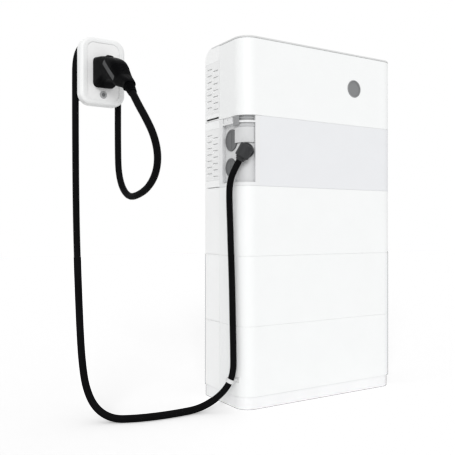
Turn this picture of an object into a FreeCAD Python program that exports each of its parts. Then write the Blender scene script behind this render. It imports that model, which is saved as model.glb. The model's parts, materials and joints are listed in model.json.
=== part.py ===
import FreeCAD, Part
import math
import os
import re
import Sketcher

Vector = FreeCAD.Vector

# The frame: +Z up, the wall behind at +Y, the origin on the floor under the middle of the tower.
# Driving sizes in mm and degrees, with what each one is.
SIZES = [
    ("tower_width", 770, "width of every unit"),
    ("tower_depth", 280, "depth of every unit, down to the wall"),
    ("corner_radius", 58, "upright front corners of the covers"),
    ("rear_radius", 8, "upright rear corners"),
    ("cover_thickness", 3, "front covers"),
    ("cover_end", 24, "where the covers end on the sides, from the middle of the depth"),
    ("sheet", 3, "walls, floors and grilles of the housings"),
    ("fit_gap", 0.3, "play between pieces that fit together"),
    ("seam", 1.2, "open joint between two covers"),
    ("lid_gap", 2, "open joint under the lid of the inverter"),
    ("edge_round", 1.2, "outer edges of the covers"),
    ("plinth_height", 46, "plinth"),
    ("plinth_inset", 7, "plinth set back from the covers"),
    ("battery_height", 260, "one battery unit"),
    ("charger_height", 261, "charger module"),
    ("inverter_height", 293, "inverter on top"),
    ("rear_channel", 46, "free depth behind the packs and boards"),
    ("pack_play", 4, "play round a battery pack"),
    ("plug_width", 120, "stacking connector"),
    ("plug_depth", 26, "stacking connector"),
    ("plug_reach", 12, "how far a stacking connector reaches into each unit"),
    ("bay_depth", 14, "connection bay, how far its wall is set in"),
    ("bay_rear", 3, "rear edge of the bay, from the middle of the depth"),
    ("bay_bottom", 14, "lower edge of the bay, above the foot of the charger"),
    ("bay_height", 220, "opening of the bay"),
    ("bay_front", 56, "length of the bay on the front, from the side"),
    ("bay_rim", 7, "strip of the cover above the bay"),
    ("panel_thickness", 4, "moulded wall of the bay"),
    ("cap_thickness", 4, "blanking caps"),
    ("cap_lip", 7, "blanking caps, beyond their hole"),
    ("cap_margin", 6.5, "from the rear edge of the bay to the caps"),
    ("sink_left", 270, "left end of a heat sink, from the middle"),
    ("sink_length", 400, "heat sinks"),
    ("sink_from_rear", 100, "face of a heat sink, from the rear of the tower"),
    ("sink_base", 8, "base of a heat sink"),
    ("sink_depth", 46, "heat sinks, base and fins"),
    ("sink_height", 180, "heat sinks"),
    ("board_forward", 40, "back of a power board, in front of the middle"),
    ("board_thickness", 2, "power boards"),
    ("board_length", 600, "power boards"),
    ("board_height", 190, "power boards"),
    ("modules_length", 400, "row of power modules"),
    ("modules_depth", 15, "row of power modules"),
    ("modules_low", 110, "foot of the power modules"),
    ("modules_high", 170, "top of the power modules"),
    ("coil_level", 60, "axes of the coils and capacitors, above the floor sheet"),
    ("coil_start", 240, "first coil, left of the middle"),
    ("coil_pitch", 70, "coils"),
    ("coil_radius", 26, "coils"),
    ("coil_length", 32, "coils"),
    ("capacitor_start", 80, "first capacitor, right of the middle"),
    ("capacitor_pitch", 44, "capacitors"),
    ("capacitor_radius", 17, "capacitors"),
    ("capacitor_length", 46, "capacitors"),
    ("upper_cap_radius", 40, "upper blanking cap"),
    ("upper_cap_height", 175, "upper blanking cap, above the foot of the charger"),
    ("lower_cap_radius", 34, "lower blanking cap"),
    ("lower_cap_height", 73, "lower blanking cap, above the foot of the charger"),
    ("bracket_length", 70, "joining bracket on the side"),
    ("bracket_thickness", 9, "joining bracket on the side"),
    ("outlet_height", 130, "charge cable outlet, above the foot of the charger"),
    ("outlet_angle", 50, "outlet axis, turned from the side towards the front"),
    ("outlet_flange", 29, "radius of the flange of the outlet"),
    ("outlet_body", 26.5, "radius of the body of the outlet"),
    ("outlet_above", 20, "body of the outlet, above its middle"),
    ("outlet_below", 30, "body of the outlet, below its middle"),
    ("outlet_round", 5, "rounded ends of the body of the outlet"),
    ("outlet_reach", 24, "from the wall of the bay to the middle of the turn"),
    ("outlet_drop", 44, "from the middle of the turn to the end of the outlet"),
    ("cable_diameter", 24, "charge cable"),
    ("vent_length", 104, "side grilles, along the depth"),
    ("vent_height", 200, "side grilles"),
    ("vent_bottom", 30, "side grilles, above the foot of their unit"),
    ("vent_ledge", 3, "ledge that a side grille rests on"),
    ("slot_length", 36, "slots of the grilles"),
    ("slot_height", 9, "slots of the grilles"),
    ("slot_recess", 1.8, "depth of the sunk field of a slot"),
    ("slot_open", 2.5, "open part of a slot, at its top"),
    ("slot_pitch", 25, "slots of the grilles"),
    ("inlet_height", 8, "air inlet along the foot of the inverter"),
    ("top_cap_height", 7, "lid on the inverter"),
    ("top_cap_round", 4, "upper edge of the lid"),
    ("top_cap_back", 54, "free strip behind the lid on the inverter"),
    ("rear_top_radius", 50, "upper rear edge of the inverter"),
    ("fan_size", 120, "fan frame"),
    ("fan_depth", 32, "fan frame"),
    ("fan_bore", 57, "radius of the opening of the fan frame"),
    ("fan_tip", 54, "radius of the fan blades"),
    ("fan_hub", 20, "radius of the fan hub"),
    ("fan_pin", 4, "radius of the fan pin"),
    ("running_gap", 0.06, "play of the fan on its pin"),
    ("fin_thickness", 4, "heat sinks"),
    ("fin_pitch", 14, "heat sinks"),
    ("start_button_radius", 31, "round button of the inverter"),
    ("start_button_side", 158, "round button, from the middle of the tower"),
    ("start_button_height", 151, "round button, above the foot of the inverter"),
    ("bezel_width", 4, "ring round the button"),
    ("button_gap", 0.4, "play round a button"),
    ("ear_width", 60, "wall brackets"),
    ("ear_height", 110, "wall brackets"),
    ("ear_bottom", 170, "wall brackets, above the foot of the inverter"),
    ("ear_spacing", 500, "wall brackets, from one to the other"),
    ("wall_hole", 4.5, "radius of the wall screw holes"),
    ("dock_side", 845, "middle of the dock, left of the tower's middle"),
    ("dock_bottom", 1101, "dock"),
    ("dock_width", 164, "dock"),
    ("dock_height", 236, "dock"),
    ("dock_front", 50, "front of the dock, from the middle of the tower's depth"),
    ("dock_back", 88, "back of the dock shell"),
    ("dock_corner", 42, "outline corners of the dock"),
    ("dock_edge", 12, "rounded front edge of the dock"),
    ("dock_wall", 3, "walls of the dock"),
    ("face_width", 118, "sunk face of the dock"),
    ("face_height", 200, "sunk face of the dock"),
    ("face_corner", 24, "outline corners of the sunk face"),
    ("face_sink", 1.5, "how far the face is sunk"),
    ("hub_radius", 67.5, "cable hub behind the dock"),
    ("hub_wall", 4, "walls of the hub"),
    ("hub_top", 156, "middle of the hub's round top, above the foot of the dock"),
    ("hub_bottom", 26, "lower edge of the hub, above the foot of the dock"),
    ("dock_hole_x", 80, "wall screws of the dock"),
    ("dock_hole_z", 120, "wall screws of the dock"),
    ("dock_hole_low", 51, "lower wall screws, above the foot of the dock"),
    ("dock_hole", 3, "radius of the dock's wall screw holes"),
    ("dock_button_radius", 12.5, "release button of the dock"),
    ("dock_button_height", 37, "release button, above the foot of the dock"),
    ("gun_height", 114, "axis of the gun, above the foot of the dock"),
    ("gun_half_width", 38, "head of the gun"),
    ("gun_half_height", 53, "head of the gun"),
    ("nose_width", 64, "front of the gun, inside the socket"),
    ("nose_height", 92, "front of the gun, inside the socket"),
    ("nose_corner", 26, "outline corners of the front of the gun"),
    ("nose_length", 30, "how far the gun goes into the socket"),
    ("socket_wall", 3, "walls of the socket"),
    ("relief_length", 35, "strain relief of the gun"),
    ("relief_radius", 18.5, "wide end of the strain relief of the gun"),
    ("thumb_width", 16, "thumb button"),
    ("thumb_length", 26, "thumb button"),
    ("thumb_depth", 10, "thumb button, part inside the gun"),
    ("thumb_level", 45, "top of the gun at the thumb button, above the axis of its head"),
    ("thumb_proud", 5, "thumb button, part above the gun"),
    ("thumb_place", 7, "middle of the thumb button, from the middle of the tower's depth"),
    ("thumb_travel", 3, "how far the thumb button goes in"),
    ("clip_length", 14, "ring of the cable clip"),
    ("clip_wall", 4, "ring of the cable clip"),
]
names = [name for name, number, meaning in SIZES]

doc = FreeCAD.newDocument("ChargerModule")
sheet = doc.addObject("Spreadsheet::Sheet", "Sizes")
for row, (name, number, meaning) in enumerate(SIZES, start=1):
    sheet.set("A%d" % row, meaning)
    sheet.set("B%d" % row, str(number))
    sheet.setAlias("B%d" % row, name)
doc.recompute()


def bound(expression):
    """The expression with every size read from the sheet."""
    def full(match):
        word = match.group(0)
        return "Sizes." + word if word in names else word

    return re.sub(r"[a-z]\w*", full, expression)


def value(expression):
    return float(sheet.evalExpression(bound(expression)))


# Heights and places that several pieces share.
BATTERIES = 3
LEFT = "(-tower_width / 2)"
RIGHT = "(tower_width / 2)"
FRONT = "(-tower_depth / 2)"
BACK = "(tower_depth / 2)"
WALL = "(tower_depth / 2 + sheet)"
CHARGER = "(plinth_height + %d * battery_height)" % BATTERIES
INVERTER = "(%s + charger_height)" % CHARGER
TOP = "(%s + inverter_height)" % INVERTER
DOCK_X = "(-dock_side)"
INSET = "(cover_thickness + fit_gap)"
PANEL_INSET = "(bay_depth + panel_thickness + fit_gap)"


def battery_foot(number):
    return "(plinth_height + %d * battery_height)" % (number - 1)


# Helpers for sketches and features. Every corner is tied to its own expressions.
PLANES = {"XY": "XY_Plane", "XZ": "XZ_Plane", "YZ": "YZ_Plane"}


def new_body(name):
    body = doc.addObject("PartDesign::Body", name)
    body.Label = name
    return body


def new_sketch(body, name, plane, offset):
    sketch = body.newObject("Sketcher::SketchObject", name)
    support = next(f for f in body.Origin.OriginFeatures if f.Role == PLANES[plane])
    sketch.AttachmentSupport = (support, "")
    sketch.MapMode = "FlatFace"
    sketch.setExpression("AttachmentOffset.Base.z", bound(offset))
    return sketch


def tie(sketch, kind, geometry, point, expression):
    """Holds one coordinate of a sketch point to an expression."""
    index = sketch.addConstraint(Sketcher.Constraint(kind, -1, 1, geometry, point, value(expression)))
    sketch.setExpression("Constraints[%d]" % index, bound(expression))


def draw_outline(sketch, corners):
    """A closed outline of straight lines."""
    points = [Vector(value(x), value(y), 0) for x, y in corners]
    lines = [
        sketch.addGeometry(Part.LineSegment(start, end))
        for start, end in zip(points, points[1:] + points[:1])
    ]
    for line, (x, y) in zip(lines, corners):
        tie(sketch, "DistanceX", line, 1, x)
        tie(sketch, "DistanceY", line, 1, y)
    for line, after in zip(lines, lines[1:] + lines[:1]):
        sketch.addConstraint(Sketcher.Constraint("Coincident", line, 2, after, 1))


def draw_circle(sketch, x, y, radius):
    centre = Vector(value(x), value(y), 0)
    circle = sketch.addGeometry(Part.Circle(centre, Vector(0, 0, 1), value(radius)))
    tie(sketch, "DistanceX", circle, 3, x)
    tie(sketch, "DistanceY", circle, 3, y)
    index = sketch.addConstraint(Sketcher.Constraint("Radius", circle, value(radius)))
    sketch.setExpression("Constraints[%d]" % index, bound(radius))


def grow(body, kind, name, sketch, length, backwards):
    """Pads or pockets a sketch. Both follow the sketch's normal."""
    feature = body.newObject("PartDesign::" + kind, name)
    feature.Profile = sketch
    feature.setExpression("Length", bound(length))
    feature.Reversed = backwards if kind == "Pad" else not backwards
    doc.recompute()
    return feature


def extrude(body, kind, name, corners, start, length, plane="XY", backwards=False):
    """A pad or pocket of a straight-sided outline. It starts at start along the plane's normal."""
    sketch = new_sketch(body, name + "_sketch", plane, start)
    draw_outline(sketch, corners)
    return grow(body, kind, name, sketch, length, backwards)


def drill(body, kind, name, circles, start, length, plane="XY", backwards=False):
    sketch = new_sketch(body, name + "_sketch", plane, start)
    for x, y, radius in circles:
        draw_circle(sketch, x, y, radius)
    return grow(body, kind, name, sketch, length, backwards)


def rectangle(x0, x1, y0, y1):
    return [(x0, y0), (x1, y0), (x1, y1), (x0, y1)]


def round_edges(body, name, radius, chosen):
    """Rounds every edge of the body whose middle and box pass the test."""
    base = body.Tip
    edges = [
        "Edge%d" % (index + 1)
        for index, edge in enumerate(base.Shape.Edges)
        if chosen(edge.BoundBox)
    ]
    fillet = body.newObject("PartDesign::Fillet", name)
    fillet.Base = (base, edges)
    fillet.setExpression("Radius", bound(radius))
    doc.recompute()
    return fillet


def near(number, expression):
    return abs(number - value(expression)) < 0.01


def upright(box, x, y):
    """True for an upright edge at x and y."""
    return box.ZLength > 1 and box.XLength < 0.01 and near(box.Center.x, x) and near(box.Center.y, y)


def round_uprights(body, name, radius, places):
    round_edges(body, name, radius, lambda box: any(upright(box, x, y) for x, y in places))


def repeat(body, name, feature, axis, count, pitch):
    """Repeats a feature along one of the body's axes."""
    pattern = body.newObject("PartDesign::LinearPattern", name)
    pattern.Originals = [feature]
    line = next(f for f in body.Origin.OriginFeatures if f.Role == axis + "_Axis")
    pattern.Direction = (line, [""])
    pattern.Occurrences = count
    pattern.setExpression("Length", bound("%d * (%s)" % (count - 1, pitch)))
    body.Tip = pattern
    doc.recompute()
    return pattern


def place(item, x, y, z):
    for axis, expression in zip("xyz", (x, y, z)):
        item.setExpression("Placement.Base." + axis, bound(expression))


def block(name, x0, x1, y0, y1, z0, z1):
    """A box between three pairs of expressions."""
    item = doc.addObject("Part::Box", name)
    item.setExpression("Length", bound("(%s) - (%s)" % (x1, x0)))
    item.setExpression("Width", bound("(%s) - (%s)" % (y1, y0)))
    item.setExpression("Height", bound("(%s) - (%s)" % (z1, z0)))
    place(item, x0, y0, z0)
    return item


TURNS = {"X": (0, 90, 0), "-X": (0, -90, 0), "Y": (0, 0, -90), "-Y": (0, 0, 90), "Z": (0, 0, 0)}


def rod(name, x, y, z, radius, length, axis="Z"):
    """A cylinder that starts at x, y, z and runs along an axis."""
    item = doc.addObject("Part::Cylinder", name)
    item.setExpression("Radius", bound(radius))
    item.setExpression("Height", bound(length))
    item.Placement = FreeCAD.Placement(Vector(), FreeCAD.Rotation(*TURNS[axis]))
    place(item, x, y, z)
    return item


def cut(name, base, tool):
    item = doc.addObject("Part::Cut", name)
    item.Base = base
    item.Tool = tool
    return item


def fuse(name, shapes):
    item = doc.addObject("Part::MultiFuse", name)
    item.Shapes = shapes
    return item


def group(name, shapes):
    """Separate solids in one node."""
    item = doc.addObject("Part::Compound", name)
    item.Links = shapes
    return item


NODES = []


def node(name, item):
    """Marks an object as one piece of the product."""
    item.Label = name
    NODES.append((name, item))
    return item


def front_corners(side, front):
    return [("-(%s)" % side, front), (side, front)]


def make_block(name, corners, start, height, rounds):
    """An upright block with rounded upright edges, from pairs of a radius and its places."""
    body = new_body(name)
    extrude(body, "Pad", name + "_form", corners, start, height)
    for index, (radius, places) in enumerate(rounds):
        round_uprights(body, "%s_corners_%d" % (name, index), radius, places)
    return body


def make_cover(name, foot, height):
    """A front cover that goes round both front corners, as its outside and the space inside it."""
    outside = make_block(name + "_outside", rectangle(LEFT, RIGHT, FRONT, "cover_end"), foot + " + seam / 2",
                         "%s - seam" % height, [("corner_radius", front_corners(RIGHT, FRONT))])
    inner = "(tower_width / 2 - cover_thickness)"
    inner_front = "(cover_thickness - tower_depth / 2)"
    inside = make_block(name + "_inside", rectangle("-" + inner, inner, inner_front, "cover_end + 1"), foot,
                        height, [("corner_radius - cover_thickness", front_corners(inner, inner_front))])
    return outside, inside


def round_cover_edges(body, name, foot, height):
    """Softens the outer upper and lower edges of a cover."""
    levels = (foot + " + seam / 2", "%s + %s - seam / 2" % (foot, height))
    round_edges(body, name + "_edges", "edge_round",
                lambda box: box.ZLength < 0.01 and any(near(box.Center.z, level) for level in levels)
                and not near(box.Center.y, "cover_end"))


def make_housing(name, foot, height, left_inset=INSET, top=None):
    """The casing behind a cover: closed above, open below, full width behind the cover's end."""
    left = "(%s - tower_width / 2)" % left_inset
    right = "(tower_width / 2 - %s)" % INSET
    front = "(%s - tower_depth / 2)" % INSET
    left_front = "(%s - tower_depth / 2)" % left_inset
    step = "(cover_end + seam / 2)"
    corners = [
        (left, left_front), ("0", left_front), ("0", front), (right, front), (right, step), (RIGHT, step),
        (RIGHT, BACK), (LEFT, BACK), (LEFT, step), (left, step),
    ]
    inner_left = "(%s + sheet)" % left
    inner_right = "(%s - sheet)" % right
    inner_front = "(%s + sheet)" % front
    inner_left_front = "(%s + sheet)" % left_front
    inner_back = "(tower_depth / 2 - sheet)"
    hollow = [
        (inner_left, inner_left_front), ("sheet", inner_left_front), ("sheet", inner_front),
        (inner_right, inner_front), (inner_right, inner_back), (inner_left, inner_back),
    ]
    if left_inset == INSET:
        corners = [corner for corner in corners if corner[0] != "0"]
        hollow = [corner for corner in hollow if corner[0] != "sheet"]
    outside = new_body(name + "_outside")
    extrude(outside, "Pad", name + "_form", corners, foot + " + sheet", "%s - sheet" % height)
    if top:
        top(outside, name)
    for side, radius, places in (("left", "corner_radius - %s" % left_inset, [(left, left_front)]),
                                 ("right", "corner_radius - %s" % INSET, [(right, front)]),
                                 ("rear", "rear_radius", [(LEFT, BACK), (RIGHT, BACK)])):
        round_uprights(outside, "%s_%s" % (name, side), radius, places)
    ceiling = "%s - sheet - top_cap_height" % height if top else "%s - sheet" % height
    inside = make_block(name + "_inside", hollow, foot, ceiling, [
        ("corner_radius - %s - sheet" % left_inset, [(inner_left, inner_left_front)]),
        ("corner_radius - %s - sheet" % INSET, [(inner_right, inner_front)]),
    ])
    if top:
        round_edges(inside, name + "_inner_top", "rear_top_radius - sheet",
                    lambda box: box.XLength > 100 and near(box.Center.z, "%s + %s" % (foot, ceiling))
                    and near(box.Center.y, inner_back))
    return outside, inside


def cut_plug_hole(body, name, start, length):
    """The opening that a stacking connector passes through, in a floor or a ceiling."""
    half = "(plug_width / 2 + fit_gap)"
    middle = "(tower_depth / 2 - rear_channel / 2)"
    half_depth = "(plug_depth / 2 + fit_gap)"
    corners = rectangle("-" + half, half, "%s - %s" % (middle, half_depth), "%s + %s" % (middle, half_depth))
    extrude(body, "Pocket", name, corners, start, length)


def make_floor(name, foot, left_inset=INSET, hole=True):
    """The plate that closes a casing below."""
    body = new_body(name)
    left = "(%s - tower_width / 2)" % left_inset
    right = "(tower_width / 2 - %s)" % INSET
    front = "(%s - tower_depth / 2)" % left_inset
    extrude(body, "Pad", name + "_plate", rectangle(left, right, front, BACK), foot, "sheet")
    round_uprights(body, name + "_corners", "corner_radius - %s" % left_inset, [(left, front), (right, front)])
    if hole:
        cut_plug_hole(body, name + "_plug_hole", foot, "sheet")
    return node(name, body)


def make_plinth():
    """A hollow foot, open above, with a rib across its middle."""
    side = "(tower_width / 2 - plinth_inset)"
    front = "(plinth_inset - tower_depth / 2)"
    outside = make_block("plinth_outside", rectangle("-" + side, side, front, BACK), "0", "plinth_height",
                         [("corner_radius - plinth_inset", front_corners(side, front))])
    inner = "(%s - sheet)" % side
    inner_front = "(%s + sheet)" % front
    inner_back = "(tower_depth / 2 - sheet)"
    hollows = [
        make_block("plinth_hollow_" + name, rectangle(x0, x1, inner_front, inner_back), "sheet", "plinth_height",
                   [("corner_radius - plinth_inset - sheet", [(corner, inner_front)])])
        for name, x0, x1, corner in (("left", "-" + inner, "-sheet / 2", "-" + inner),
                                     ("right", "sheet / 2", inner, inner))
    ]
    node("plinth", cut("plinth", outside, group("plinth_hollows", hollows)))


def make_battery(number):
    foot = battery_foot(number)
    cover_name = "battery_cover_%d" % number
    outside, inside = make_cover(cover_name, foot, "battery_height")
    round_cover_edges(outside, cover_name, foot, "battery_height")
    node(cover_name, cut(cover_name, outside, inside))
    housing_name = "battery_housing_%d" % number
    outside, inside = make_housing(housing_name, foot, "battery_height")
    cut_plug_hole(outside, housing_name + "_plug_hole", foot + " + battery_height - sheet", "sheet")
    node(housing_name, cut(housing_name, outside, inside))
    make_floor("battery_floor_%d" % number, foot, hole=number > 1)
    make_pack("battery_pack_%d" % number, foot)


def make_pack(name, foot):
    """A sealed pack of cells with rounded edges, standing on the floor of its casing."""
    body = new_body(name)
    side = "(tower_width / 2 - %s - sheet - pack_play)" % INSET
    front = "(%s + sheet + pack_play - tower_depth / 2)" % INSET
    back = "(tower_depth / 2 - rear_channel)"
    height = "battery_height - 3 * sheet - pack_play"
    extrude(body, "Pad", name + "_form", rectangle("-" + side, side, front, back), foot + " + sheet", height)
    round_uprights(body, name + "_corners", "corner_radius - %s - sheet" % INSET, front_corners(side, front))
    node(name, body)


def make_plugs():
    """The connectors that join one unit to the next."""
    joints = [battery_foot(2), battery_foot(3), CHARGER, INVERTER]
    middle = "(tower_depth / 2 - rear_channel / 2)"
    plugs = [
        block("plug_%d" % index, "-plug_width / 2", "plug_width / 2", middle + " - plug_depth / 2",
              middle + " + plug_depth / 2", joint + " - plug_reach", joint + " + plug_reach")
        for index, joint in enumerate(joints)
    ]
    node("stack_connectors", group("stack_connectors", plugs))


def cut_vents(body, name, foot, left_inset=INSET):
    """Both side windows of a casing: a recess for the grille and a smaller opening behind it."""
    y0 = "(cover_end + seam)"
    z0 = "(%s + vent_bottom)" % foot

    def window(margin):
        return rectangle("%s - %s" % (y0, margin), "%s + vent_length + %s" % (y0, margin), "%s - %s" % (z0, margin),
                         "%s + vent_height + %s" % (z0, margin))

    right = "(tower_width / 2 - %s - sheet - 1)" % INSET
    depth = "%s + sheet + 2"
    extrude(body, "Pocket", name + "_recess_left", window("fit_gap"), LEFT + " - 1", "sheet + 1", plane="YZ")
    extrude(body, "Pocket", name + "_recess_right", window("fit_gap"), RIGHT + " - sheet", "sheet + 1", plane="YZ")
    extrude(body, "Pocket", name + "_opening_left", window("(-vent_ledge)"), LEFT + " - 1", depth % left_inset,
            plane="YZ")
    extrude(body, "Pocket", name + "_opening_right", window("(-vent_ledge)"), right, depth % INSET, plane="YZ")


def make_grille(name, foot, start):
    """A side grille with two staggered columns of slots."""
    body = new_body(name)
    y0 = "(cover_end + seam)"
    z0 = "(%s + vent_bottom)" % foot
    extrude(body, "Pad", name + "_plate", rectangle(y0, y0 + " + vent_length", z0, z0 + " + vent_height"),
            start, "sheet", plane="YZ")
    outer = start if start == LEFT else "(%s + sheet - slot_recess)" % start
    margin = "(vent_length / 3 - 2 * slot_length / 3)"
    rows = 7
    for column, lift in (("rear", "slot_pitch"), ("front", "slot_pitch / 2")):
        near_edge = "(%s + %s)" % (y0, margin) if column == "front" else "(%s + 2 * %s + slot_length)" % (y0, margin)
        low = "(%s + %s - slot_height / 2)" % (z0, lift)
        recess = extrude(body, "Pocket", "%s_recess_%s" % (name, column),
                         rectangle(near_edge, near_edge + " + slot_length", low, low + " + slot_height"),
                         outer, "slot_recess", plane="YZ")
        repeat(body, "%s_recesses_%s" % (name, column), recess, "Z", rows, "slot_pitch")
        high = "(%s + slot_height)" % low
        slot = extrude(body, "Pocket", "%s_slot_%s" % (name, column),
                       rectangle(near_edge, near_edge + " + slot_length", high + " - slot_open", high),
                       start, "sheet", plane="YZ")
        repeat(body, "%s_slots_%s" % (name, column), slot, "Z", rows, "slot_pitch")
    return node(name, body)


def make_grilles(unit, foot):
    make_grille(unit + "_grille_left", foot, LEFT)
    make_grille(unit + "_grille_right", foot, "(tower_width / 2 - sheet)")


def make_heat_sink(name, foot):
    """A finned block that stands on the floor in the air path of the fan."""
    left = "(-sink_left)"
    right = "(sink_length - sink_left)"
    front = "(tower_depth / 2 - sink_from_rear)"
    root = "(%s + sink_base)" % front
    tip = "(%s + sink_depth)" % front
    low = "(%s + sheet)" % foot
    shapes = [block(name + "_base", left, right, front, root, low, low + " + sink_height")]
    count = int(value("(sink_height - fin_thickness) / fin_pitch")) + 1
    for index in range(count):
        fin_low = "%s + %d * fin_pitch" % (low, index)
        shapes.append(block("%s_fin_%d" % (name, index), left, right, root, tip, fin_low, fin_low + " + fin_thickness"))
    node(name, fuse(name, shapes))


def make_board(name, foot):
    """A power board on edge, with coils and capacitors."""
    back = "(-board_forward)"
    face = "(%s + board_thickness / 2)" % back
    low = "(%s + sheet)" % foot
    middle = low + " + coil_level"
    shapes = [
        block(name + "_plate", "(-board_length / 2)", "(board_length / 2)", back, back + " + board_thickness", low,
              low + " + board_height"),
        block(name + "_modules", "(-modules_length / 2)", "(modules_length / 2)", face, face + " + modules_depth",
              low + " + modules_low", low + " + modules_high"),
    ]
    for index in range(4):
        x = "(%d * coil_pitch - coil_start)" % index
        shapes.append(rod("%s_coil_%d" % (name, index), x, face, middle, "coil_radius", "coil_length", "-Y"))
    for index in range(5):
        x = "(capacitor_start + %d * capacitor_pitch)" % index
        shapes.append(rod("%s_capacitor_%d" % (name, index), x, face, middle, "capacitor_radius", "capacitor_length",
                          "-Y"))
    node(name, fuse(name, shapes))


FAN_X = 200


def fan_axis(foot):
    return "(tower_depth / 2 - 75)", "(%s + sheet + fan_size / 2)" % foot


def make_fan(unit, foot):
    """A fan that blows along the unit: its frame stands on the floor and carries the pin."""
    y, z = fan_axis(foot)
    name = unit + "_fan_frame"
    x0 = str(FAN_X)
    half = "fan_size / 2"
    frame = block(name + "_block", x0, x0 + " + fan_depth", "%s - %s" % (y, half), "%s + %s" % (y, half),
                  "%s - %s" % (z, half), "%s + %s" % (z, half))
    bore = rod(name + "_bore", "%s - 1" % x0, y, z, "fan_bore", "fan_depth + 2", "X")
    ring = cut(name + "_ring", frame, bore)
    arms = [
        block(name + "_arm_y", x0, x0 + " + sheet", y + " - fan_size / 2 + 1", y + " + fan_size / 2 - 1", z + " - 4",
              z + " + 4"),
        block(name + "_arm_z", x0, x0 + " + sheet", y + " - 4", y + " + 4", z + " - fan_size / 2 + 1",
              z + " + fan_size / 2 - 1"),
    ]
    pin = rod(name + "_pin", x0, y, z, "fan_pin", "fan_depth - 3", "X")
    node(name, fuse(name, [ring, pin] + arms))
    make_rotor(unit + "_fan_rotor", y, z)


def make_rotor(name, y, z):
    """Seven pitched blades on a hub with a bore for the pin."""
    start = "%d + sheet + 1.5" % FAN_X
    depth = value("fan_depth - sheet - 5")
    hub = rod(name + "_hub", start, y, z, "fan_hub", str(depth), "X")
    blades = []
    count = 7
    pitch_angle = 38
    for index in range(count):
        blade = block(name + "_blade_%d" % index, "0", "26", "0", "2.4", "0", "fan_tip - fan_hub + 2")
        turn = FreeCAD.Rotation(Vector(1, 0, 0), 360 * index / count)
        reach = turn.multVec(Vector(0, 0, value("fan_hub") - 2))
        lean = FreeCAD.Rotation(Vector(0, 0, 1), pitch_angle)
        blade.Placement = FreeCAD.Placement(Vector(), turn * lean)
        place(blade, "%s + 2" % start, "%s + %.6f" % (y, reach.y), "%s + %.6f" % (z, reach.z))
        blades.append(blade)
    wheel = fuse(name + "_wheel", [hub] + blades)
    tip = rod(name + "_tip", start, y, z, "fan_tip", str(depth), "X")
    trimmed = doc.addObject("Part::MultiCommon", name + "_trimmed")
    trimmed.Shapes = [wheel, tip]
    bore = rod(name + "_bore", "%s - 1" % start, y, z, "fan_pin + running_gap", str(depth + 2), "X")
    node(name, cut(name, trimmed, bore))


BAY_LOW = "(%s + bay_bottom)" % CHARGER
BAY_HIGH = "(%s + bay_height)" % BAY_LOW
BAY_SIDE = "(bay_depth - tower_width / 2)"
BAY_FRONT = "(bay_depth - tower_depth / 2)"
BAY_REAR = "bay_rear"


def make_charger_cover():
    """The front cover, cut away round the left corner for the connection bay and the joint above it."""
    name = "charger_cover"
    outside, inside = make_cover(name, CHARGER, "charger_height")
    reach = "(%s + bay_front)" % LEFT
    beyond = "(%s - 1)" % LEFT
    window = rectangle(beyond, reach, FRONT + " - 1", BAY_REAR)
    extrude(outside, "Pocket", name + "_bay", window, BAY_LOW, "bay_height")
    extrude(outside, "Pocket", name + "_joint", window, "(%s + bay_rim)" % BAY_HIGH, "charger_height")
    node(name, cut(name, outside, inside))


def make_connection_panel():
    """The moulded wall of the bay, with a hole for each blanking cap."""
    name = "connection_panel"
    inner = "(%s + panel_thickness)" % BAY_SIDE
    inner_front = "(%s + panel_thickness)" % BAY_FRONT
    end = "(%s + bay_front + 6)" % LEFT
    rear = "(%s + 8)" % BAY_REAR
    foot = CHARGER + " + sheet"
    height = "charger_height - sheet"
    outside = make_block(name + "_outside", rectangle(BAY_SIDE, end, BAY_FRONT, rear), foot, height,
                         [("corner_radius - bay_depth", [(BAY_SIDE, BAY_FRONT)])])
    lip = rectangle("(%s - panel_thickness)" % end, end, "(%s - tower_depth / 2)" % INSET, BAY_FRONT + " + 1")
    extrude(outside, "Pad", name + "_lip", lip, foot, height)
    circles = [
        (*cap_place(size), size + "_radius - cap_lip + fit_gap") for size in ("upper_cap", "lower_cap")
    ]
    drill(outside, "Pocket", name + "_holes", circles, "(%s - 1)" % BAY_SIDE, "panel_thickness + 2", plane="YZ")
    inside = make_block(name + "_inside", rectangle(inner, end + " + 1", inner_front, rear + " + 1"), CHARGER,
                        "charger_height + 1",
                        [("corner_radius - bay_depth - panel_thickness", [(inner, inner_front)])])
    node(name, cut(name, outside, inside))


def cap_place(size):
    """Middle of a cap along Y and Z. Both caps keep the same distance from the bay's rear edge."""
    return "(%s - cap_margin - %s_radius)" % (BAY_REAR, size), "(%s + %s_height)" % (CHARGER, size)


def make_caps():
    """Blanking caps: a dished head outside the bay's wall and a spigot in its hole."""
    caps = []
    for size in ("upper_cap", "lower_cap"):
        y, z = cap_place(size)
        radius = size + "_radius"
        face = "%s - cap_thickness" % BAY_SIDE
        head = rod(size + "_head", face, y, z, radius, "cap_thickness", "X")
        spigot = rod(size + "_spigot", "%s - 1" % BAY_SIDE, y, z, radius + " - cap_lip", "panel_thickness + 1", "X")
        dish = rod(size + "_dish", face + " - 1", y, z, radius + " - 6", "2.5", "X")
        grip = block(size + "_grip", face, face + " + 2.5", y + " - 3", y + " + 3", "%s - %s + 8" % (z, radius),
                     "%s + %s - 8" % (z, radius))
        cap = cut(size + "_form", fuse(size + "_solid", [head, spigot]), dish)
        caps.append(fuse(size, [cap, grip]))
    node("blanking_caps", group("blanking_caps", caps))


def outlet_points():
    """The wall point, outward direction, middle of the turn, way down and end of the outlet."""
    angle = math.radians(value("outlet_angle"))
    out = Vector(-math.cos(angle), -math.sin(angle), 0)
    corner = Vector(value(LEFT + " + corner_radius"), value(FRONT + " + corner_radius"),
                    value("%s + outlet_height" % CHARGER))
    wall = corner + out * value("corner_radius - bay_depth")
    turn = wall + out * value("outlet_reach")
    down = Vector(-0.34, 0.36, -0.86).normalize()
    return wall, out, turn, down, turn + down * value("outlet_drop")


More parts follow.
